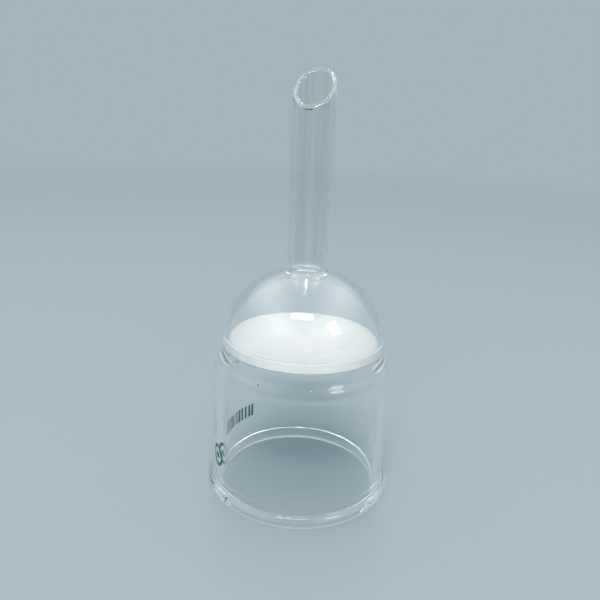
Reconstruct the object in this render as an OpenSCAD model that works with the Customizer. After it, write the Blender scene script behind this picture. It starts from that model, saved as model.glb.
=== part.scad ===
// Sealed-disc Buchner filter funnel in clear borosilicate glass, standing mouth down on
// its beaded rim with the stem pointing up. Millimetres, +Z up, origin at the centre of
// the rim's resting plane. All glass sections share one axis and meet face to face.

/* [Barrel] */
// Outer diameter of the barrel tube
barrel_od = 100; // [96:1:106]
// Wall thickness of the barrel tube
barrel_wall = 5; // [4:0.5:5.5]
// Height at which the straight barrel ends and the shoulder starts
barrel_top = 69.2; // [60:0.1:80]

/* [Rim bead] */
// How far the rounded bead round the mouth stands out past the barrel
bead_proud = 2.9; // [2:0.1:3.2]
// How much of the bead is ground away to make the flat resting ring
bead_ground = 0.8; // [0.1:0.1:1.2]
// Radius of the hollow curve between the bead and the barrel
bead_fillet = 1.6; // [1:0.1:2]

/* [Shoulder and neck] */
// Height over which the barrel draws in to the neck
shoulder_h = 15; // [12:1:20]
// How much lower the shoulder's inner surface starts to draw in than its outer surface
shoulder_lead = 2.5; // [0.5:0.5:3.5]
// Outer diameter of the neck and of the dome
neck_od = 90.8; // [90:0.2:91.6]
// Wall thickness of the neck and of the dome
neck_wall = 3.2; // [2.8:0.1:3.6]
// Height of the short straight neck below the dome
neck_h = 2; // [2:0.5:6]

/* [Dome] */
// Height of the dome's crown above the neck
dome_h = 43; // [41:0.5:43.5]
// Outer radius of curvature of the dome's flattened crown
crown_r = 50; // [48:0.5:51]

/* [Fritted disc and its seal] */
// Thickness of the fritted disc
disc_t = 5; // [4:0.5:5.5]
// How far the disc's filtering face lies below the top of the neck
disc_drop = 1; // [0:0.2:1]
// Depth to which the disc's edge is bedded in the neck wall
disc_bed = 0.3; // [0.1:0.1:0.6]
// Radius of the fused glass curve that grips each edge of the disc
seal_fillet = 0.8; // [0.4:0.1:0.9]

/* [Stem] */
// Outer diameter of the stem tube
stem_od = 22; // [20:0.5:23]
// Wall thickness of the stem tube
stem_wall = 2.5; // [1.8:0.1:3]
// Length of the straight stem tube, from its joint with the dome to the bevelled tip
stem_l = 80.5; // [50:0.5:110]
// Radius of the outer curve where the stem joins the dome
root_fillet = 2.5; // [2:0.5:4.5]
// Radius of the inner curve where the dome opens into the stem
root_inner_fillet = 1.5; // [1:0.5:3]
// Angle of the bevelled tip from square
bevel_angle = 44; // [30:1:50]
// Direction of the tip's high side, counter-clockwise from +X
bevel_azimuth = 75; // [0:5:355]
// How much each face of the stem wall slopes in to the thinner edge of the tip
tip_taper = 0.2; // [0.2:0.1:0.6]

/* [Enamel marks] */
// Thickness of the fired-on enamel
enamel_t = 0.15; // [0.1:0.05:0.3]
// Height of the emblem's centre above the rim
emblem_z = 24.5; // [18:0.5:50]
// Outer diameter of the ring emblem
emblem_d = 13; // [9:1:16]
// Direction of the emblem round the barrel
emblem_azimuth = 206; // [0:1:359]
// Height of the centre of the row of bars
bars_z = 25; // [16:1:50]
// Height of one bar
bar_h = 8.5; // [4:0.5:10]
// Width of one bar
bar_w = 2; // [1:0.1:3]
// Number of bars in the row
bar_count = 11; // [4:1:20]
// Angle between neighbouring bars
bar_step = 3.8; // [3.8:0.1:6]
// Direction of the first bar round the barrel
bars_azimuth = 133; // [0:1:359]
// Distance from the top of the barrel down to the centre of the porosity ticks
ticks_drop = 6; // [3:1:20]
// Number of porosity ticks
tick_count = 5; // [2:1:8]
// Direction of the first tick round the barrel
ticks_azimuth = 145; // [0:1:359]

/* [Hidden] */

glass = [0.86, 0.93, 0.94, 0.45];
frit_white = [0.97, 0.98, 0.97];
enamel_green = [0.06, 0.40, 0.33];
enamel_dark = [0.22, 0.36, 0.34];

$fn = 128;

barrel_r = barrel_od / 2;
barrel_ir = barrel_r - barrel_wall;

bead_r = (barrel_wall + bead_proud) / 2;
bead_centre_r = barrel_ir + bead_r;
bead_centre_z = bead_r - bead_ground;
bead_fillet_z = bead_centre_z
    + sqrt(pow(bead_r + bead_fillet, 2) - pow(barrel_r + bead_fillet - bead_centre_r, 2));
bead_top = 10;

neck_r = neck_od / 2;
neck_ir = neck_r - neck_wall;
neck_start = barrel_top + shoulder_h;
ogee_h = shoulder_h - shoulder_lead;
equator_z = neck_start + neck_h;

crown_z = equator_z + dome_h - crown_r;
side_centre_r = (pow(equator_z - crown_z, 2) - pow(crown_r - neck_r, 2))
    / (2 * (crown_r - neck_r));
side_r = neck_r - side_centre_r;
side_centre = [side_centre_r, equator_z];
crown_lean = atan2(equator_z - crown_z, side_centre_r);

disc_z = equator_z - disc_drop;
disc_r = neck_ir + disc_bed;
disc_top = disc_z + disc_t;
seal_land = 3;
seal_top = disc_top + seal_land;

stem_r = stem_od / 2;
stem_ir = stem_r - stem_wall;
root_r = stem_r + root_fillet + 1;
stem_start = equator_z + dome_h + root_fillet;
tip_start = stem_start + stem_l;
tip_land = 0.6;
tip_mid_z = tip_start + tip_land + stem_r * tan(bevel_angle);
tip_top = tip_mid_z + stem_r * tan(bevel_angle);

ring_line = 2;
emblem_dot_d = 4;
tick_h = 3.2;
tick_w = 0.9;
tick_step = 2.7;
ticks_z = barrel_top - ticks_drop;
reach = 4;
arc_steps = 16;

// A revolved 2D section
module turned() {
    rotate_extrude() children();
}

// Points of an arc round centre [r, z], from one angle to another
function arc(centre, radius, from, to) = [
    for (i = [0 : arc_steps])
        let (angle = from + (to - from) * i / arc_steps)
        centre + radius * [cos(angle), sin(angle)]
];

// The points of a list in reverse order
function reversed(points) = [for (i = [len(points) - 1 : -1 : 0]) points[i]];

// Outline of the S-shaped curve, starting at height z, by which radius r_low of the barrel
// draws in to radius r_high of the neck
function ogee(r_low, r_high, z) =
    let (
        turn = 2 * atan((r_low - r_high) / ogee_h),
        bend_r = ogee_h / 2 / sin(turn)
    )
    concat(
        arc([r_low - bend_r, z], bend_r, 0, turn),
        arc([r_high + bend_r, z + ogee_h], bend_r, 180 + turn, 180)
    );

// Angle round the centre of the dome's side curve at which its surface, inset by depth,
// reaches the top of the disc seal
function seal_lean(depth) = asin((seal_top - equator_z) / (side_r - depth));

// Outline of the neck and the foot of the dome, inset by depth, up to the top of the seal
function neck_outline(depth) = concat(
    [[neck_r - depth, neck_start]],
    arc(side_centre, side_r - depth, 0, seal_lean(depth))
);

// Outline of the dome, inset by depth, from the top of the seal to radius root_r
function dome_outline(depth) = concat(
    arc(side_centre, side_r - depth, seal_lean(depth), crown_lean),
    arc([0, crown_z], crown_r - depth, crown_lean, acos(root_r / (crown_r - depth)))
);

// Outline of a crown surface of radius ball_r from radius root_r up to a blend of radius
// bend_r, then along that blend to the tube of radius tube_r
function crown_to_tube(ball_r, tube_r, bend_r) =
    let (
        rise = sqrt(pow(ball_r + bend_r, 2) - pow(tube_r + bend_r, 2)),
        lean = atan2(rise, tube_r + bend_r)
    )
    concat(
        arc([0, crown_z], ball_r, acos(root_r / ball_r), lean),
        arc([tube_r + bend_r, crown_z + rise], bend_r, 180 + lean, 180)
    );

// Small hollow curve of glass in the corner between the neck wall and a disc face.
// side is 1 for the upper face and -1 for the lower face.
module seal_fillet_area(face_z, side) {
    corner_z = side > 0 ? face_z : face_z - seal_fillet;
    difference() {
        translate([neck_ir - seal_fillet, corner_z])
            square([2 * seal_fillet, seal_fillet]);
        translate([neck_ir - seal_fillet, face_z + side * seal_fillet])
            circle(seal_fillet);
    }
}

// Rounded bead at the mouth, with a ground resting ring
module rim_bead() {
    color(glass) turned() difference() {
        union() {
            translate([bead_centre_r, bead_centre_z]) circle(bead_r);
            translate([barrel_ir, bead_centre_z])
                square([barrel_wall, bead_top - bead_centre_z]);
            difference() {
                translate([bead_centre_r, bead_centre_z])
                    square([barrel_r + bead_fillet - bead_centre_r,
                            bead_fillet_z - bead_centre_z]);
                polygon([
                    [bead_centre_r, bead_centre_z],
                    [barrel_r + bead_fillet, bead_fillet_z],
                    [barrel_r + 2 * bead_r, bead_fillet_z],
                    [barrel_r + 2 * bead_r, bead_centre_z]
                ]);
                translate([barrel_r + bead_fillet, bead_fillet_z]) circle(bead_fillet);
            }
        }
        translate([0, -2 * bead_r]) square([2 * barrel_r, 2 * bead_r]);
    }
}

// Straight barrel tube
module barrel() {
    color(glass) turned()
        translate([barrel_ir, bead_top]) square([barrel_wall, barrel_top - bead_top]);
}

// Shoulder, where the barrel draws in to the neck. Its inner surface draws in first, which
// keeps the wall even through the slope.
module shoulder() {
    color(glass) turned() polygon(concat(
        [[barrel_r, barrel_top]],
        ogee(barrel_r, neck_r, barrel_top + shoulder_lead),
        [[neck_ir, neck_start]],
        reversed(ogee(barrel_ir, neck_ir, barrel_top))
    ));
}

// Ring of neck glass fused round the edge of the disc
module disc_seal_ring() {
    color(glass) turned() difference() {
        union() {
            polygon(concat(neck_outline(0), reversed(neck_outline(neck_wall))));
            seal_fillet_area(disc_top, 1);
            seal_fillet_area(disc_z, -1);
        }
        translate([0, disc_z]) square([disc_r, disc_t]);
    }
}

// Porous sintered-glass disc
module fritted_disc() {
    color(frit_white) translate([0, 0, disc_z]) cylinder(r = disc_r, h = disc_t);
}

// Dome over the disc, up to the glass worked round the stem joint
module dome() {
    color(glass) turned() polygon(concat(
        dome_outline(0),
        reversed(dome_outline(neck_wall))
    ));
}

// Worked joint between the dome and the stem
module stem_root() {
    color(glass) turned() polygon(concat(
        crown_to_tube(crown_r, stem_r, root_fillet),
        [[stem_r, stem_start], [stem_ir, stem_start]],
        reversed(crown_to_tube(crown_r - neck_wall, stem_ir, root_inner_fillet))
    ));
}

// Straight stem tube
module stem_tube() {
    color(glass) turned()
        translate([stem_ir, stem_start]) square([stem_wall, stem_l]);
}

// Open tip of the stem, thinned towards its edge and cut off at a slant so that drops run
// to its low side
module drip_tip() {
    color(glass) difference() {
        turned() polygon([
            [stem_ir, tip_start],
            [stem_r, tip_start],
            [stem_r - tip_taper, tip_top],
            [stem_ir + tip_taper, tip_top]
        ]);
        translate([0, 0, tip_mid_z])
            rotate([0, 0, bevel_azimuth])
            rotate([0, -bevel_angle, 0])
            translate([-stem_od, -stem_od, 0])
            cube([2 * stem_od, 2 * stem_od, 2 * stem_od]);
    }
}

// Thin layer of enamel on the barrel, cut to the children, which are flat shapes drawn in
// a plane square to the direction azimuth. Their x runs round the barrel and y runs up.
module enamel(azimuth, z) {
    intersection() {
        difference() {
            cylinder(r = barrel_r + enamel_t, h = barrel_top);
            translate([0, 0, -1]) cylinder(r = barrel_r, h = barrel_top + 2);
        }
        rotate([0, 0, azimuth])
            translate([barrel_r - reach, 0, z])
            rotate([90, 0, 90])
            linear_extrude(2 * reach) children();
    }
}

// Plain ring and dot
module enamel_emblem() {
    color(enamel_green) enamel(emblem_azimuth, emblem_z) {
        difference() {
            circle(d = emblem_d);
            circle(d = emblem_d - 2 * ring_line);
        }
        circle(d = emblem_dot_d);
    }
}

// Row of plain upright bars
module enamel_bars() {
    color(enamel_green)
        for (i = [0 : bar_count - 1])
            enamel(bars_azimuth + i * bar_step, bars_z) square([bar_w, bar_h], center = true);
}

// Short ticks below the disc that show its porosity grade
module enamel_porosity_ticks() {
    color(enamel_dark)
        for (i = [0 : tick_count - 1])
            enamel(ticks_azimuth + i * tick_step, ticks_z) square([tick_w, tick_h], center = true);
}

rim_bead();
barrel();
shoulder();
disc_seal_ring();
fritted_disc();
dome();
stem_root();
stem_tube();
drip_tip();
enamel_emblem();
enamel_bars();
enamel_porosity_ticks();
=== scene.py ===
import math

import bpy
import numpy as np
from mathutils import Matrix, Vector, noise


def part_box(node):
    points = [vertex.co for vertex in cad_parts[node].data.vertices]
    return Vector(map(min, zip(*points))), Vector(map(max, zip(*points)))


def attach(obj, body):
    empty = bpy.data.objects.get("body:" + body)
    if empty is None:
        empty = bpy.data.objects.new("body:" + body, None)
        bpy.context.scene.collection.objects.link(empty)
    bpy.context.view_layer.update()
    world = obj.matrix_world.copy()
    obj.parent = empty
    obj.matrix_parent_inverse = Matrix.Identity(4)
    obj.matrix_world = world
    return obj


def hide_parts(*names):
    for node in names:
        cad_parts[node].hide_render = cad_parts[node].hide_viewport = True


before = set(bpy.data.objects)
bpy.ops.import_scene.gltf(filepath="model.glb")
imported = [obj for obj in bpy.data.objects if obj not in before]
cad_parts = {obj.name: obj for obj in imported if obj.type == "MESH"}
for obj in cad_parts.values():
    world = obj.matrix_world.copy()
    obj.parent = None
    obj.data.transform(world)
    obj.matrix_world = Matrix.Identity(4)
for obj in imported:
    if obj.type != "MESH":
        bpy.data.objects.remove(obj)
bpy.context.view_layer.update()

# ---------------------------------------------------------------- sizes, in millimetres

MM = 0.001


def node_points(node):
    """The vertices of a CAD node in the row frame, in millimetres."""
    return np.array([v.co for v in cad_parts[node].data.vertices], float) / MM


def node_radii(node):
    """(smallest, largest) distance from the axis of a CAD node."""
    radii = np.hypot(*node_points(node)[:, :2].T)
    return float(radii.min()), float(radii.max())


def node_heights(node):
    """(lowest, highest) point of a CAD node."""
    low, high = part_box(node)
    return low.z / MM, high.z / MM


BARREL_IR, BARREL_R = node_radii("barrel")
BEAD_R_MAX = node_radii("rim_bead")[1]
NECK_R = node_radii("disc_seal_ring")[1]
STEM_IR, STEM_R = node_radii("stem_tube")
DISC_R = node_radii("fritted_disc")[1]
ROOT_R = node_radii("stem_root")[1]
ENAMEL_R = node_radii("enamel_bars")[1]
BEAD_TOP, BARREL_TOP = node_heights("barrel")
NECK_START, SEAL_TOP = node_heights("disc_seal_ring")
DISC_Z, DISC_TOP = node_heights("fritted_disc")
DOME_EDGE_Z = node_heights("dome")[1]
STEM_START, TIP_START = node_heights("stem_tube")
TIP_TOP = node_heights("drip_tip")[1]

# The same as the parameters of the CAD.
NECK_WALL = 3.2
NECK_H = 2.0
CROWN_R = 50.0
SHOULDER_LEAD = 2.5
SEAL_FILLET = 0.8
ROOT_FILLET = 2.5
ROOT_INNER_FILLET = 1.5
BEAD_GROUND = 0.8
BEAD_FILLET = 1.6
TIP_TAPER = 0.2
BEVEL_ANGLE = math.radians(44)
BEVEL_AZIMUTH = math.radians(75)

# Only in this model: the melted edge of the drip tip.
LIP_EDGE = 1.0

NECK_IR = NECK_R - NECK_WALL
EQUATOR_Z = NECK_START + NECK_H
CROWN_Z = DOME_EDGE_Z - math.sqrt(CROWN_R**2 - ROOT_R**2)
SIDE_CENTRE_R = ((EQUATOR_Z - CROWN_Z) ** 2 - (CROWN_R - NECK_R) ** 2) / (
    2 * (CROWN_R - NECK_R)
)
SIDE_R = NECK_R - SIDE_CENTRE_R
CROWN_LEAN = math.atan2(EQUATOR_Z - CROWN_Z, SIDE_CENTRE_R)
OGEE_H = NECK_START - BARREL_TOP - SHOULDER_LEAD
TIP_MID_Z = TIP_TOP - STEM_R * math.tan(BEVEL_ANGLE)

AROUND = 192
GLASS, SEAM = 0, 1

# ---------------------------------------------------------------- turned glass sections


def on(centre, radius, angle):
    """The point of a circle at that angle."""
    return np.array(centre, float) + radius * np.array([math.cos(angle), math.sin(angle)])


def line(start, end, steps=1, slot=GLASS):
    """Straight run of a section. The glass lies on the left of its direction."""
    start, end = np.array(start, float), np.array(end, float)
    along = (end - start) / np.linalg.norm(end - start)
    normal = np.array([along[1], -along[0]])
    return slot, [(start + (end - start) * i / steps, normal) for i in range(steps + 1)]


def arc(centre, radius, start, stop, steps):
    """Round run of a section, angles in radians. The glass lies on the left of its
    direction: inside the circle where the angle grows, outside it where it shrinks."""
    facing = 1.0 if stop > start else -1.0
    angles = [start + (stop - start) * i / steps for i in range(steps + 1)]
    return GLASS, [(on(centre, radius, a), facing * on((0, 0), 1, a)) for a in angles]


def seam(start, end):
    """Fused face where a section runs on into the next one, or into the disc."""
    return line(start, end, 2, SEAM)


def inside(runs):
    """Runs of an inner surface, walked down, from the same runs of its outside form."""
    return [
        (slot, [(p, -n) for p, n in reversed(points)]) for slot, points in reversed(runs)
    ]


def mesh_object(name, verts_mm, faces, normals=None, slots=None):
    """Smooth object of a mesh in millimetres, with the normals of its face corners and
    the material slots of its faces where they are given."""
    mesh = bpy.data.meshes.new(name)
    mesh.from_pydata((np.array(verts_mm) * MM).tolist(), [], [list(f) for f in faces])
    mesh.polygons.foreach_set("use_smooth", [True] * len(mesh.polygons))
    if slots is not None:
        mesh.polygons.foreach_set("material_index", slots)
    if normals is not None:
        mesh.normals_split_custom_set(np.array(normals).tolist())
    mesh.update()
    obj = bpy.data.objects.new(name, mesh)
    bpy.context.scene.collection.objects.link(obj)
    return obj


def turned_mesh(name, runs, bend=None):
    """Closed mesh of a section turned round Z. runs are (material slot, [(point, normal)]),
    each starting where the one before ends, and the first where the last ends. bend moves
    the points and turns the normals."""
    profile, strips = [runs[0][1][0][0]], []
    for slot, points in runs:
        for (_, before), (point, after) in zip(points, points[1:]):
            strips.append((len(profile) - 1, len(profile), before, after, slot))
            profile.append(point)
    profile.pop()
    rings = len(profile)
    turns = np.arange(AROUND) * 2 * math.pi / AROUND
    verts = np.array(
        [(p[0] * math.cos(t), p[0] * math.sin(t), p[1]) for t in turns for p in profile]
    )
    faces, normals, slots = [], [], []
    for k in range(AROUND):
        n = (k + 1) % AROUND
        for a, b, na, nb, slot in strips:
            b %= rings
            faces.append((k * rings + a, n * rings + a, n * rings + b, k * rings + b))
            for t, m in ((turns[k], na), (turns[n], na), (turns[n], nb), (turns[k], nb)):
                normals.append((m[0] * math.cos(t), m[0] * math.sin(t), m[1]))
            slots.append(slot)
    normals = np.array(normals)
    if bend is not None:
        _, normals = bend(verts[np.array(faces).ravel()], normals)
        verts, _ = bend(verts)
    return mesh_object(name, verts, faces, normals, slots)


# Rim bead: a round bead with its foot ground flat, and a fillet up to the barrel.
bead_r = (BEAD_R_MAX - BARREL_IR) / 2
bead_centre = np.array([BARREL_IR + bead_r, bead_r - BEAD_GROUND])
flat_lean = math.asin((bead_r - BEAD_GROUND) / bead_r)
fillet_r = BARREL_R + BEAD_FILLET
fillet_rise = math.sqrt((bead_r + BEAD_FILLET) ** 2 - (fillet_r - bead_centre[0]) ** 2)
fillet_centre = np.array([fillet_r, bead_centre[1] + fillet_rise])
fillet_lean = math.atan2(*(fillet_centre - bead_centre)[::-1])

rim_runs = [
    line((BARREL_IR, BEAD_TOP), (BARREL_IR, bead_centre[1]), steps=4),
    arc(bead_centre, bead_r, math.pi, math.pi + flat_lean, steps=20),
    line(
        on(bead_centre, bead_r, math.pi + flat_lean),
        on(bead_centre, bead_r, -flat_lean),
        steps=4,
    ),
    arc(bead_centre, bead_r, -flat_lean, fillet_lean, steps=32),
    arc(fillet_centre, BEAD_FILLET, math.pi + fillet_lean, math.pi, steps=10),
    line((BARREL_R, fillet_centre[1]), (BARREL_R, BEAD_TOP), steps=2),
    seam((BARREL_R, BEAD_TOP), (BARREL_IR, BEAD_TOP)),
]

barrel_runs = [
    seam((BARREL_IR, BEAD_TOP), (BARREL_R, BEAD_TOP)),
    line((BARREL_R, BEAD_TOP), (BARREL_R, BARREL_TOP), steps=30),
    seam((BARREL_R, BARREL_TOP), (BARREL_IR, BARREL_TOP)),
    line((BARREL_IR, BARREL_TOP), (BARREL_IR, BEAD_TOP), steps=30),
]


def ogee(low, high, z):
    """Runs up the S-curve of one side of the shoulder from height z, glass on the left."""
    turn = 2 * math.atan((low - high) / OGEE_H)
    bend_r = OGEE_H / 2 / math.sin(turn)
    return [
        arc((low - bend_r, z), bend_r, 0, turn, steps=14),
        arc((high + bend_r, z + OGEE_H), bend_r, math.pi + turn, math.pi, steps=14),
    ]


# Shoulder: the inner S-curve starts lower than the outer one, by SHOULDER_LEAD.
shoulder_runs = [
    seam((BARREL_IR, BARREL_TOP), (BARREL_R, BARREL_TOP)),
    line((BARREL_R, BARREL_TOP), (BARREL_R, BARREL_TOP + SHOULDER_LEAD), steps=2),
    *ogee(BARREL_R, NECK_R, BARREL_TOP + SHOULDER_LEAD),
    seam((NECK_R, NECK_START), (NECK_IR, NECK_START)),
    line((NECK_IR, NECK_START), (NECK_IR, NECK_START - SHOULDER_LEAD), steps=2),
    *inside(ogee(BARREL_IR, NECK_IR, BARREL_TOP)),
]

# Disc seal: the band of wall that holds the disc, with a fillet over it and one under it.
side_centre = np.array([SIDE_CENTRE_R, EQUATOR_Z])
side_ir = SIDE_R - NECK_WALL
seal_lean = math.asin((SEAL_TOP - EQUATOR_Z) / SIDE_R)
seal_inner_lean = math.asin((SEAL_TOP - EQUATOR_Z) / side_ir)
seal_end = on(side_centre, SIDE_R, seal_lean)
seal_inner_end = on(side_centre, side_ir, seal_inner_lean)
upper_centre_z = DISC_TOP + SEAL_FILLET
upper_lean = math.asin((upper_centre_z - EQUATOR_Z) / (side_ir - SEAL_FILLET))
upper_centre = on(side_centre, side_ir - SEAL_FILLET, upper_lean)
lower_centre = np.array([NECK_IR - SEAL_FILLET, DISC_Z - SEAL_FILLET])

seal_runs = [
    seam((NECK_IR, NECK_START), (NECK_R, NECK_START)),
    line((NECK_R, NECK_START), (NECK_R, EQUATOR_Z), steps=3),
    arc(side_centre, SIDE_R, 0, seal_lean, steps=10),
    seam(seal_end, seal_inner_end),
    *inside([arc(side_centre, side_ir, upper_lean, seal_inner_lean, steps=4)]),
    arc(upper_centre, SEAL_FILLET, upper_lean, -math.pi / 2, steps=10),
    seam((upper_centre[0], DISC_TOP), (DISC_R, DISC_TOP)),
    seam((DISC_R, DISC_TOP), (DISC_R, DISC_Z)),
    seam((DISC_R, DISC_Z), (lower_centre[0], DISC_Z)),
    arc(lower_centre, SEAL_FILLET, math.pi / 2, 0, steps=10),
    line((NECK_IR, lower_centre[1]), (NECK_IR, NECK_START), steps=1),
]

# Dome: a tight side and a flatter crown, out to the root of the stem.
crown_centre = np.array([0.0, CROWN_Z])
crown_ir = CROWN_R - NECK_WALL
root_lean = math.acos(ROOT_R / CROWN_R)
root_inner_lean = math.acos(ROOT_R / crown_ir)
dome_end = on(crown_centre, CROWN_R, root_lean)
dome_inner_end = on(crown_centre, crown_ir, root_inner_lean)

dome_runs = [
    seam(seal_inner_end, seal_end),
    arc(side_centre, SIDE_R, seal_lean, CROWN_LEAN, steps=28),
    arc(crown_centre, CROWN_R, CROWN_LEAN, root_lean, steps=6),
    seam(dome_end, dome_inner_end),
    *inside(
        [
            arc(side_centre, side_ir, seal_inner_lean, CROWN_LEAN, steps=28),
            arc(crown_centre, crown_ir, CROWN_LEAN, root_inner_lean, steps=6),
        ]
    ),
]


def crown_to_tube(ball_r, tube_r, bend_r):
    """Runs from radius ROOT_R of a crown surface up round the blend to a tube."""
    rise = math.sqrt((ball_r + bend_r) ** 2 - (tube_r + bend_r) ** 2)
    lean = math.atan2(rise, tube_r + bend_r)
    return [
        arc(crown_centre, ball_r, math.acos(ROOT_R / ball_r), lean, steps=5),
        arc((tube_r + bend_r, CROWN_Z + rise), bend_r, math.pi + lean, math.pi, steps=14),
        line((tube_r, CROWN_Z + rise), (tube_r, STEM_START), steps=2),
    ]


root_runs = [
    seam(dome_inner_end, dome_end),
    *crown_to_tube(CROWN_R, STEM_R, ROOT_FILLET),
    seam((STEM_R, STEM_START), (STEM_IR, STEM_START)),
    *inside(crown_to_tube(crown_ir, STEM_IR, ROOT_INNER_FILLET)),
]

stem_runs = [
    seam((STEM_IR, STEM_START), (STEM_R, STEM_START)),
    line((STEM_R, STEM_START), (STEM_R, TIP_START), steps=40),
    seam((STEM_R, TIP_START), (STEM_IR, TIP_START)),
    line((STEM_IR, TIP_START), (STEM_IR, STEM_START), steps=40),
]

# Drip tip: turned square, with a rounded lip, and then slanted by bevel().
lip_z = TIP_MID_Z - LIP_EDGE
lip_out = STEM_R - TIP_TAPER
lip_in = STEM_IR + TIP_TAPER

tip_runs = [
    seam((STEM_IR, TIP_START), (STEM_R, TIP_START)),
    line((STEM_R, TIP_START), (lip_out, lip_z), steps=16),
    arc((lip_out - LIP_EDGE, lip_z), LIP_EDGE, 0, math.pi / 2, steps=10),
    line((lip_out - LIP_EDGE, TIP_MID_Z), (lip_in + LIP_EDGE, TIP_MID_Z), steps=4),
    arc((lip_in + LIP_EDGE, lip_z), LIP_EDGE, math.pi / 2, math.pi, steps=10),
    line((lip_in, lip_z), (STEM_IR, TIP_START), steps=16),
]


def bevel(points, normals=None):
    """Slants everything above the foot of the tip, up to the full bevel at its lip. Gives
    back the moved points and, where normals go in, the turned normals."""
    x, y, z = points.T
    way_x, way_y = math.cos(BEVEL_AZIMUTH), math.sin(BEVEL_AZIMUTH)
    slope = math.tan(BEVEL_ANGLE)
    across = (x * way_x + y * way_y) * slope
    over = z > lip_z
    share = np.clip((z - TIP_START) / (lip_z - TIP_START), 0, None)
    share = np.where(over, 1.0, share)
    moved = np.column_stack([x, y, z + share * across])
    if normals is None:
        return moved, None
    growth = 1 + np.where(over, 0.0, across / (lip_z - TIP_START))
    nx, ny, nz = normals.T
    turned = np.column_stack(
        [
            nx - nz * share * slope * way_x / growth,
            ny - nz * share * slope * way_y / growth,
            nz / growth,
        ]
    )
    return moved, turned / np.linalg.norm(turned, axis=1)[:, None]


# ---------------------------------------------------------------- shader nodes


def material(name):
    """(material, nodes, links) of a new material with an empty node tree."""
    mat = bpy.data.materials.new(name)
    mat.use_nodes = True
    mat.node_tree.nodes.clear()
    return mat, mat.node_tree.nodes, mat.node_tree.links


def new_node(nodes, kind, **values):
    """Node with the values of its inputs, _ for the blanks of an input's name."""
    node = nodes.new(kind)
    for label, value in values.items():
        node.inputs[label.replace("_", " ")].default_value = value
    return node


def principled(nodes, links, colour=None, bump=None, **values):
    """Principled shader. Its colour is three numbers or a socket, and bump a socket."""
    shader = new_node(nodes, "ShaderNodeBsdfPrincipled", **values)
    if isinstance(colour, tuple):
        shader.inputs["Base Color"].default_value = (*colour, 1)
    else:
        links.new(colour, shader.inputs["Base Color"])
    if bump is not None:
        links.new(bump, shader.inputs["Normal"])
    return shader.outputs["BSDF"]


def object_coords(nodes, links, scale=(1, 1, 1)):
    """Object coordinates, scaled separately along each axis."""
    coords = nodes.new("ShaderNodeTexCoord")
    mapping = new_node(nodes, "ShaderNodeMapping", Scale=scale)
    links.new(coords.outputs["Object"], mapping.inputs["Vector"])
    return mapping.outputs["Vector"]


def noise_node(nodes, links, vector, scale, detail):
    tex = new_node(nodes, "ShaderNodeTexNoise", Scale=scale, Detail=detail)
    links.new(vector, tex.inputs["Vector"])
    return tex.outputs["Fac"]


def ramp_node(nodes, links, factor, low, high, interpolation="LINEAR"):
    """Colour ramp between two stops, each a position and a colour."""
    ramp = nodes.new("ShaderNodeValToRGB")
    ramp.color_ramp.interpolation = interpolation
    for element, (position, colour) in zip(ramp.color_ramp.elements, (low, high)):
        element.position = position
        element.color = (*colour, 1)
    links.new(factor, ramp.inputs["Fac"])
    return ramp.outputs["Color"]


def bump_node(nodes, links, height, strength, distance, normal=None):
    bump = new_node(nodes, "ShaderNodeBump", Strength=strength, Distance=distance)
    links.new(height, bump.inputs["Height"])
    if normal is not None:
        links.new(normal, bump.inputs["Normal"])
    return bump.outputs["Normal"]


def math_node(nodes, links, operation, *terms):
    """Math node over one or two terms, each a socket or a number."""
    node = nodes.new("ShaderNodeMath")
    node.operation = operation
    for term, socket in zip(terms, node.inputs):
        if isinstance(term, float):
            socket.default_value = term
        else:
            links.new(term, socket)
    return node.outputs["Value"]


def smooth_range(nodes, links, value, start, stop, **values):
    """Smooth step from 0 to 1 while value goes from start to stop."""
    node = new_node(nodes, "ShaderNodeMapRange", From_Min=start, From_Max=stop, **values)
    node.interpolation_type = "SMOOTHSTEP"
    links.new(value, node.inputs["Value"])
    return node.outputs["Result"]


def mixed(nodes, links, factor, first, second):
    """The first shader where factor is 0, and the second where it is 1."""
    mix = nodes.new("ShaderNodeMixShader")
    for socket, source in zip(mix.inputs, (factor, first, second)):
        links.new(source, socket)
    return mix.outputs["Shader"]


def surface(nodes, links, shader, kind="ShaderNodeOutputMaterial"):
    """Ends a node tree with its output."""
    links.new(shader, nodes.new(kind).inputs["Surface"])


# ---------------------------------------------------------------- materials

GLASS_COLOUR = (0.985, 0.995, 0.992)
GLASS_IOR = 1.47
STRAIGHT_TINT = (0.97, 0.985, 0.985)
EDGE_TINT = (0.74, 0.79, 0.80)
EDGE_BLEND = 0.35
# Rate per metre across the glass, how much of it is left along the axis, and depth.
WAVE_RATE, WAVE_ALONG, WAVE_DEPTH = 45, 0.6, 0.0006
DRAW_LINE_RATE, DRAW_LINE_ALONG, DRAW_LINE_DEPTH = 420, 0.02, 0.0001
STREAK_FROM, STREAK_TO = 0.38, 0.62
# The sockets of a Mix node for colours, whose names are not unique.
MIX_FACTOR, MIX_COLOURS, MIX_RESULT = 0, (6, 7), 2


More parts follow.
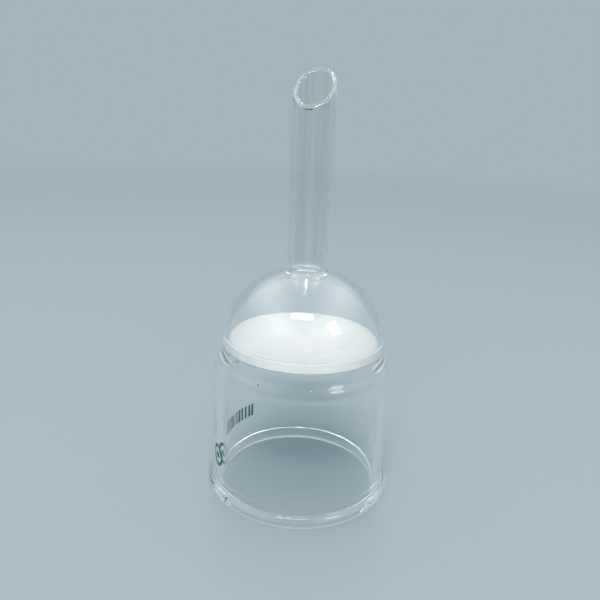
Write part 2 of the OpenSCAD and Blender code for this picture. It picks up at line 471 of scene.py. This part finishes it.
def glass_material(name, waves, draw_lines, straight=STRAIGHT_TINT, streak=None):
    """Clear glass with faint waves, and draw lines along the axis where it is tubing.
    Shadow and diffuse rays go through it unbent, tinted by straight where they meet it
    square and by EDGE_TINT where they graze it. streak is the colour of faint streaks
    along the axis."""
    mat, nodes, links = material(name)
    coords = object_coords(nodes, links, (1, 1, WAVE_ALONG))
    wave_noise = noise_node(nodes, links, coords, WAVE_RATE, detail=2.0)
    coords = object_coords(nodes, links, (1, 1, DRAW_LINE_ALONG))
    drawn_noise = noise_node(nodes, links, coords, DRAW_LINE_RATE, detail=2.0)
    colour = GLASS_COLOUR
    if streak is not None:
        colour = ramp_node(
            nodes, links, drawn_noise, (STREAK_FROM, streak), (STREAK_TO, GLASS_COLOUR)
        )
    wavy = bump_node(nodes, links, wave_noise, waves, WAVE_DEPTH)
    drawn = bump_node(nodes, links, drawn_noise, draw_lines, DRAW_LINE_DEPTH, wavy)
    glass = principled(
        nodes, links, colour, drawn, Roughness=0.0, IOR=GLASS_IOR, Transmission_Weight=1.0
    )
    facing = new_node(nodes, "ShaderNodeLayerWeight", Blend=EDGE_BLEND)
    tint = nodes.new("ShaderNodeMix")
    tint.data_type = "RGBA"
    tint.inputs[MIX_COLOURS[0]].default_value = (*straight, 1)
    tint.inputs[MIX_COLOURS[1]].default_value = (*EDGE_TINT, 1)
    links.new(facing.outputs["Facing"], tint.inputs[MIX_FACTOR])
    clear = nodes.new("ShaderNodeBsdfTransparent")
    links.new(tint.outputs[MIX_RESULT], clear.inputs["Color"])
    path = nodes.new("ShaderNodeLightPath")
    shadow, diffuse = path.outputs["Is Shadow Ray"], path.outputs["Is Diffuse Ray"]
    unbent = math_node(nodes, links, "MAXIMUM", shadow, diffuse)
    surface(nodes, links, mixed(nodes, links, unbent, glass, clear.outputs["BSDF"]))
    return mat


def seam_material():
    """Nothing to see: the glass runs on through a fused face."""
    mat, nodes, links = material("fused_seam")
    clear = new_node(nodes, "ShaderNodeBsdfTransparent", Color=(1, 1, 1, 1))
    surface(nodes, links, clear.outputs["BSDF"])
    return mat


def frit_material():
    """Sintered glass: white grains, cloudy in colour."""
    mat, nodes, links = material("sintered_glass")
    plain = object_coords(nodes, links)
    grains = new_node(nodes, "ShaderNodeTexVoronoi", Scale=2200)
    links.new(plain, grains.inputs["Vector"])
    cloud = noise_node(nodes, links, plain, scale=160, detail=4.0)
    colour = ramp_node(
        nodes, links, cloud, (0.3, (0.80, 0.82, 0.815)), (0.7, (0.87, 0.88, 0.875))
    )
    relief = grains.outputs["Distance"]
    bump = bump_node(nodes, links, relief, strength=0.5, distance=0.0001)
    shader = principled(nodes, links, colour, bump, Roughness=0.75, IOR=1.4)
    surface(nodes, links, shader)
    return mat


def enamel_material(name, low, high):
    """Fired-on enamel, slightly uneven in colour and height."""
    mat, nodes, links = material(name)
    cloud = noise_node(nodes, links, object_coords(nodes, links), scale=900, detail=3.0)
    colour = ramp_node(nodes, links, cloud, (0.35, low), (0.65, high))
    bump = bump_node(nodes, links, cloud, strength=0.3, distance=0.00004)
    surface(nodes, links, principled(nodes, links, colour, bump, Roughness=0.35))
    return mat


tubing = glass_material("clear_glass_tubing", 0.2, 0.12)
narrow = glass_material("clear_glass_narrow_tubing", 0.2, 0.5, streak=(0.88, 0.905, 0.90))
worked = glass_material("clear_glass_worked", 0.12, 0.0)
curved = glass_material("clear_glass_curved", 0.12, 0.0, straight=(0.80, 0.82, 0.825))
polished = glass_material("clear_glass_polished", 0.1, 0.0, streak=(0.84, 0.87, 0.85))
fused = seam_material()
frit_white = frit_material()
green = enamel_material("green_enamel", (0.008, 0.13, 0.085), (0.012, 0.17, 0.115))
grey = enamel_material("grey_enamel", (0.05, 0.12, 0.115), (0.07, 0.15, 0.14))


def finish_piece(obj, node, slot, *materials):
    """Gives a piece its materials, hangs it on the root body and hides its CAD node."""
    for m in materials:
        obj.data.materials.append(m)
    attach(obj, "root")
    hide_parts(node)


for piece, node, runs, bend, glass in (
    ("glass_rim_bead", "rim_bead", rim_runs, None, worked),
    ("glass_barrel", "barrel", barrel_runs, None, tubing),
    ("glass_shoulder", "shoulder", shoulder_runs, None, curved),
    ("glass_disc_seal", "disc_seal_ring", seal_runs, None, worked),
    ("glass_dome", "dome", dome_runs, None, worked),
    ("glass_stem_root", "stem_root", root_runs, None, worked),
    ("glass_stem", "stem_tube", stem_runs, None, narrow),
    ("glass_tip", "drip_tip", tip_runs, bevel, polished),
):
    finish_piece(turned_mesh(piece, runs, bend), node, "clear_glass", glass, fused)

# ---------------------------------------------------------------- fritted disc

SEAT_GAP = 0.02
DISC_EDGE = 0.12
DISC_RINGS = 46
DISC_SIDE_STEPS = 8
EDGE_ANGLES = (0.5, 1.1)
LEAST_INSET = 0.01
CENTRE_INSET = 0.02
# Depth and rate per millimetre of the unevenness of the two faces.
UNEVENNESS = ((0.035, 0.9), (0.03, 2.3))


def disc_mesh(name):
    """Disc with softened edges and a faintly uneven face above and below, sunk a little
    into its CAD solid."""
    r, low, high, e = DISC_R - SEAT_GAP, DISC_Z + SEAT_GAP, DISC_TOP - SEAT_GAP, DISC_EDGE
    radii = [
        r * math.sqrt(i / DISC_RINGS) * (1 - e / r) for i in range(1, DISC_RINGS + 1)
    ]
    side = [i / DISC_SIDE_STEPS for i in range(1, DISC_SIDE_STEPS + 1)]
    section = [
        *((x, low) for x in radii),
        *(
            (r - e + e * math.sin(a), low + e - e * math.cos(a))
            for a in (*EDGE_ANGLES, math.pi / 2)
        ),
        *((r, low + e + (high - low - 2 * e) * share) for share in side),
        *((r - e + e * math.cos(a), high - e + e * math.sin(a)) for a in EDGE_ANGLES),
        *((x, high) for x in reversed(radii)),
    ]
    verts, faces = [], []
    for k in range(AROUND):
        t = k * 2 * math.pi / AROUND
        for x, z in section:
            point = Vector((x * math.cos(t), x * math.sin(t), z))
            rise = sum(depth * noise.noise(point * rate) for depth, rate in UNEVENNESS)
            inset = LEAST_INSET + abs(rise)
            if z <= low + e:
                z += inset
            elif z >= high - e:
                z -= inset
            verts.append((point.x, point.y, z))
    n = len(section)
    for k in range(AROUND):
        m = (k + 1) % AROUND
        for i in range(n - 1):
            faces.append((k * n + i, m * n + i, m * n + i + 1, k * n + i + 1))
    for i, z in ((0, low + CENTRE_INSET), (n - 1, high - CENTRE_INSET)):
        centre = len(verts)
        verts.append((0, 0, z))
        for k in range(AROUND):
            m = (k + 1) % AROUND
            ring = (k * n + i, m * n + i)
            faces.append((centre, *reversed(ring)) if i == 0 else (centre, *ring))
    return mesh_object(name, verts, faces)


finish_piece(disc_mesh("frit_disc"), "fritted_disc", "sintered_glass", frit_white)

# ---------------------------------------------------------------- enamel marks

ENAMEL_BED = 0.02
ENAMEL_TOP = ENAMEL_R - BARREL_R
EDGE_WIDTH = 0.2
# Inset from the outline, and height above the barrel, of the loops over a domed edge.
ENAMEL_EDGE = (
    (0.0, -ENAMEL_BED),
    (0.0, 0.3 * ENAMEL_TOP),
    (0.03, 0.7 * ENAMEL_TOP),
    (0.09, 0.93 * ENAMEL_TOP),
    (EDGE_WIDTH, ENAMEL_TOP),
)
# Corner of a bar: its share of the width, the largest and the least.
CORNER_SHARE, BAR_CORNER, LEAST_CORNER = 0.4, 0.35, 0.08
CORNER_STEPS = 5
# Loops over the flat top, from the outside in.
BAR_TOP_SHARES = (0.66, 0.33)
DOT_TOP_SHARES = (0.6, 0.25)
EMBLEM_LINE = 2.0
RING_STEPS = 72
SAME_POINT_DIGITS = 4


def islands(node):
    """(azimuth, height, width, tallness) of each separate solid of an enamel node."""
    keys = [tuple(np.round(p, SAME_POINT_DIGITS)) for p in node_points(node)]
    parent = {k: k for k in keys}

    def root(k):
        while parent[k] != k:
            parent[k] = parent[parent[k]]
            k = parent[k]
        return k

    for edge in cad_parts[node].data.edges:
        a, b = root(keys[edge.vertices[0]]), root(keys[edge.vertices[1]])
        parent[a] = b
    groups = {}
    for k in set(keys):
        groups.setdefault(root(k), []).append(k)
    found = []
    for group in groups.values():
        x, y, z = np.array(group).T
        middle = math.atan2(y.mean(), x.mean())
        across = -x * math.sin(middle) + y * math.cos(middle)
        found.append(
            (middle, (z.min() + z.max()) / 2, float(np.ptp(across)), float(np.ptp(z)))
        )
    return sorted(found)


def wrapped(u, v, height, azimuth, z):
    """Point at height above the barrel, over (u, v) in the plane square to azimuth."""
    r = BARREL_R + height
    a = azimuth + math.asin(u / r)
    return (r * math.cos(a), r * math.sin(a), z + v)


def loop_patch(loops, azimuth, z):
    """Closed mesh through a list of loops of (u, v, height) with equal counts, capped at
    both ends."""
    verts, faces = [], []
    n = len(loops[0])
    for loop in loops:
        verts += [wrapped(u, v, h, azimuth, z) for u, v, h in loop]
    for j in range(len(loops) - 1):
        for i in range(n):
            m = (i + 1) % n
            faces.append((j * n + i, j * n + m, (j + 1) * n + m, (j + 1) * n + i))
    faces.append(tuple(reversed(range(n))))
    faces.append(tuple((len(loops) - 1) * n + i for i in range(n)))
    return verts, faces


def rounded_box(w, h, corner):
    """Outline of a box of w by h with round corners, its middle at (0, 0)."""
    points = []
    for cx, cy, start in ((1, -1, -90), (1, 1, 0), (-1, 1, 90), (-1, -1, 180)):
        for i in range(CORNER_STEPS + 1):
            a = math.radians(start + 90 * i / CORNER_STEPS)
            points.append(
                (
                    cx * (w / 2 - corner) + corner * math.cos(a),
                    cy * (h / 2 - corner) + corner * math.sin(a),
                )
            )
    return points


def enamel_bar(azimuth, z, w, h):
    """Upright bar of enamel with soft corners and a domed edge."""
    corner = min(BAR_CORNER, CORNER_SHARE * w)
    loops = []
    for inset, height in ENAMEL_EDGE:
        outline = rounded_box(
            w - 2 * inset, h - 2 * inset, max(corner - inset, LEAST_CORNER)
        )
        loops.append([(u, v, height) for u, v in outline])
    flat_w, flat_h = w - 2 * EDGE_WIDTH, h - 2 * EDGE_WIDTH
    for share in BAR_TOP_SHARES:
        outline = rounded_box(flat_w * share, flat_h - w * (1 - share), LEAST_CORNER)
        loops.append([(u, v, ENAMEL_TOP) for u, v in outline])
    return loop_patch(loops, azimuth, z)


def enamel_ring(azimuth, z, outer, inner):
    """Ring of enamel, or a dot where inner is 0, with a domed edge."""
    section = [(outer - inset, height) for inset, height in ENAMEL_EDGE]
    if inner > 0:
        section += [(inner + inset, height) for inset, height in reversed(ENAMEL_EDGE)]
    else:
        section += [(outer * share, ENAMEL_TOP) for share in DOT_TOP_SHARES]
    turns = [2 * math.pi * i / RING_STEPS for i in range(RING_STEPS)]
    loops = [
        [(radius * math.cos(t), radius * math.sin(t), height) for t in turns]
        for radius, height in section
    ]
    verts, faces = loop_patch(loops, azimuth, z)
    if inner > 0:
        faces = faces[:-2]
        last = (len(loops) - 1) * RING_STEPS
        for i in range(RING_STEPS):
            m = (i + 1) % RING_STEPS
            faces.append((last + i, last + m, m, i))
    return verts, faces


def joined(parts):
    """One (verts, faces) from several."""
    verts, faces = [], []
    for v, f in parts:
        faces += [tuple(i + len(verts) for i in face) for face in f]
        verts += v
    return verts, faces


emblem_parts = sorted(islands("enamel_emblem"), key=lambda found: found[2])
dot, ring = emblem_parts[0], emblem_parts[-1]
emblem = joined(
    [
        enamel_ring(ring[0], ring[1], ring[3] / 2, ring[3] / 2 - EMBLEM_LINE),
        enamel_ring(dot[0], dot[1], dot[3] / 2, 0),
    ]
)
bars = joined([enamel_bar(*found) for found in islands("enamel_bars")])
ticks = joined([enamel_bar(*found) for found in islands("enamel_porosity_ticks")])

for piece, node, (verts, faces), slot, mat in (
    ("mark_emblem", "enamel_emblem", emblem, "green_enamel", green),
    ("mark_bars", "enamel_bars", bars, "green_enamel", green),
    ("mark_ticks", "enamel_porosity_ticks", ticks, "grey_enamel", grey),
):
    finish_piece(mesh_object(piece, verts, faces), node, slot, mat)

# ---------------------------------------------------------------- floor, in metres

scene = bpy.context.scene
BACKDROP = (0.37, 0.455, 0.495)
SKY = (0.33, 0.43, 0.475)
FLOOR_R, FLOOR_CORNERS = 3.0, 128
FLOOR_DROP = 0.0001
FADE_FROM, FADE_TO = 0.7, 2.4

mat, nodes, links = material("floor")
coords = nodes.new("ShaderNodeTexCoord")
length = nodes.new("ShaderNodeVectorMath")
length.operation = "LENGTH"
links.new(coords.outputs["Object"], length.inputs[0])
fade = smooth_range(nodes, links, length.outputs["Value"], FADE_FROM, FADE_TO)
shader = principled(nodes, links, BACKDROP, Roughness=0.9, Specular_IOR_Level=0.15)
clear = nodes.new("ShaderNodeBsdfTransparent")
surface(nodes, links, mixed(nodes, links, fade, shader, clear.outputs["BSDF"]))

bpy.ops.mesh.primitive_circle_add(
    vertices=FLOOR_CORNERS, radius=FLOOR_R, fill_type="NGON", location=(0, 0, -FLOOR_DROP)
)
floor = bpy.context.object
floor.name = "floor"
floor.data.materials.append(mat)

# ---------------------------------------------------------------- world

# Heights are 0 straight down, 0.5 at the horizon and 1 straight up.
SKY_FROM, SKY_TO = 0.60, 0.8
GLOW_FROM, GLOW_TO = 0.60, 0.92
GLOW = 2.6
# The glow grows from GLOW_MIDDLE overhead to its whole strength at the left and right.
ASIDE_FROM, ASIDE_TO = 0.1, 0.6
GLOW_MIDDLE = 0.4

world = bpy.data.worlds.new("studio")
scene.world = world
world.use_nodes = True
nodes, links = world.node_tree.nodes, world.node_tree.links
nodes.clear()
coords = nodes.new("ShaderNodeTexCoord")
split = nodes.new("ShaderNodeSeparateXYZ")
links.new(coords.outputs["Generated"], split.inputs["Vector"])
height = new_node(nodes, "ShaderNodeMapRange", From_Min=-1, From_Max=1)
links.new(split.outputs["Z"], height.inputs["Value"])

background = nodes.new("ShaderNodeBackground")
colour = ramp_node(
    nodes, links, height.outputs["Result"], (SKY_FROM, BACKDROP), (SKY_TO, SKY)
)
links.new(colour, background.inputs["Color"])

# A glow of the ceiling that shows in reflections only.
glow = ramp_node(
    nodes,
    links,
    height.outputs["Result"],
    (GLOW_FROM, (0, 0, 0)),
    (GLOW_TO, (1, 1, 1)),
    interpolation="EASE",
)
sideways = math_node(nodes, links, "ABSOLUTE", split.outputs["X"])
aside = smooth_range(nodes, links, sideways, ASIDE_FROM, ASIDE_TO, To_Min=GLOW_MIDDLE)
shaped = math_node(nodes, links, "MULTIPLY", glow, aside)
path = nodes.new("ShaderNodeLightPath")
in_gloss = math_node(nodes, links, "MULTIPLY", shaped, path.outputs["Is Glossy Ray"])
ceiling = nodes.new("ShaderNodeBackground")
links.new(math_node(nodes, links, "MULTIPLY", in_gloss, GLOW), ceiling.inputs["Strength"])
sky = nodes.new("ShaderNodeAddShader")
links.new(background.outputs["Background"], sky.inputs[0])
links.new(ceiling.outputs["Background"], sky.inputs[1])
surface(nodes, links, sky.outputs["Shader"], "ShaderNodeOutputWorld")

# ---------------------------------------------------------------- lights

LIGHT_DISTANCE = 4.0
LIGHTS_AIM_AT = Vector((0, 0, 0.1))
WARM = (1.0, 0.82, 0.77)
SHINE = (1.0, 0.95, 0.93)
SIDE_SHINE = (1.0, 0.99, 0.97)
DAYLIGHT = (1.0, 0.98, 0.95)
FILL = (1.0, 0.98, 0.96)


def softbox(
    name,
    azimuth,
    elevation,
    across,
    upright,
    radiance,
    colour,
    shows="all",
    distance=LIGHT_DISTANCE,
):
    """Rectangular light seen from the funnel at that azimuth and elevation, in degrees,
    and across by upright degrees large. It shows in "all" surfaces and through the glass,
    or only in the reflections of glossy ones, "gloss", or only in "dull" ones. Of two
    lights in one direction the nearer one hides the other."""
    turn, rise = math.radians(azimuth), math.radians(elevation)
    way = Vector(
        (math.cos(turn) * math.cos(rise), math.sin(turn) * math.cos(rise), math.sin(rise))
    )
    data = bpy.data.lights.new(name, "AREA")
    data.shape = "RECTANGLE"
    data.size = 2 * distance * math.tan(math.radians(across / 2))
    data.size_y = 2 * distance * math.tan(math.radians(upright / 2))
    data.energy = radiance * math.pi * data.size * data.size_y
    data.color = colour
    light = bpy.data.objects.new(name, data)
    scene.collection.objects.link(light)
    light.location = way * distance + LIGHTS_AIM_AT
    light.rotation_mode = "QUATERNION"
    light.rotation_quaternion = (-way).to_track_quat("-Z", "Y")
    light.visible_camera = False
    light.visible_diffuse = shows != "gloss"
    light.visible_glossy = shows != "dull"
    light.visible_transmission = shows == "all"


softbox("softbox_key", -96, 55, 28, 9, 18.0, WARM, "dull")
softbox("softbox_overhead", -96, 74, 20, 12, 10.7, WARM, "dull")
softbox("softbox_key_shine", -96, 60, 28, 9, 15.0, SHINE, "gloss", distance=3.9)
softbox("softbox_side", -39, 36, 15, 18, 7.0, SIDE_SHINE, "gloss")
softbox("softbox_strip", 91, 59, 3, 18, 14.0, DAYLIGHT)
softbox("softbox_strip_end", 91, 77, 4, 8, 14.0, DAYLIGHT)
softbox("softbox_fill", -90, 20, 70, 26, 1.85, FILL, "dull")

# ---------------------------------------------------------------- camera and picture

EYE = (0.0, -0.3278, 0.2107)
YAW, PITCH, ROLL = map(math.radians, (-0.516, 16.957, 2.542))
LENS, SENSOR = 37, 36
CLIP_START = 0.01
GLASS_BOUNCES = 96
SEAM_BOUNCES = 64

camera = bpy.data.objects.new("camera", bpy.data.cameras.new("camera"))
scene.collection.objects.link(camera)
camera.data.lens = LENS
camera.data.sensor_width = SENSOR
camera.data.clip_start = CLIP_START
look = Vector(
    (math.sin(YAW) * math.cos(PITCH), math.cos(YAW) * math.cos(PITCH), -math.sin(PITCH))
)
camera.matrix_world = (
    Matrix.Translation(EYE)
    @ look.to_track_quat("-Z", "Y").to_matrix().to_4x4()
    @ Matrix.Rotation(ROLL, 4, "Z")
)
scene.camera = camera

scene.view_settings.view_transform = "Standard"
scene.cycles.max_bounces = GLASS_BOUNCES
scene.cycles.transmission_bounces = GLASS_BOUNCES
scene.cycles.glossy_bounces = GLASS_BOUNCES
scene.cycles.transparent_max_bounces = SEAM_BOUNCES
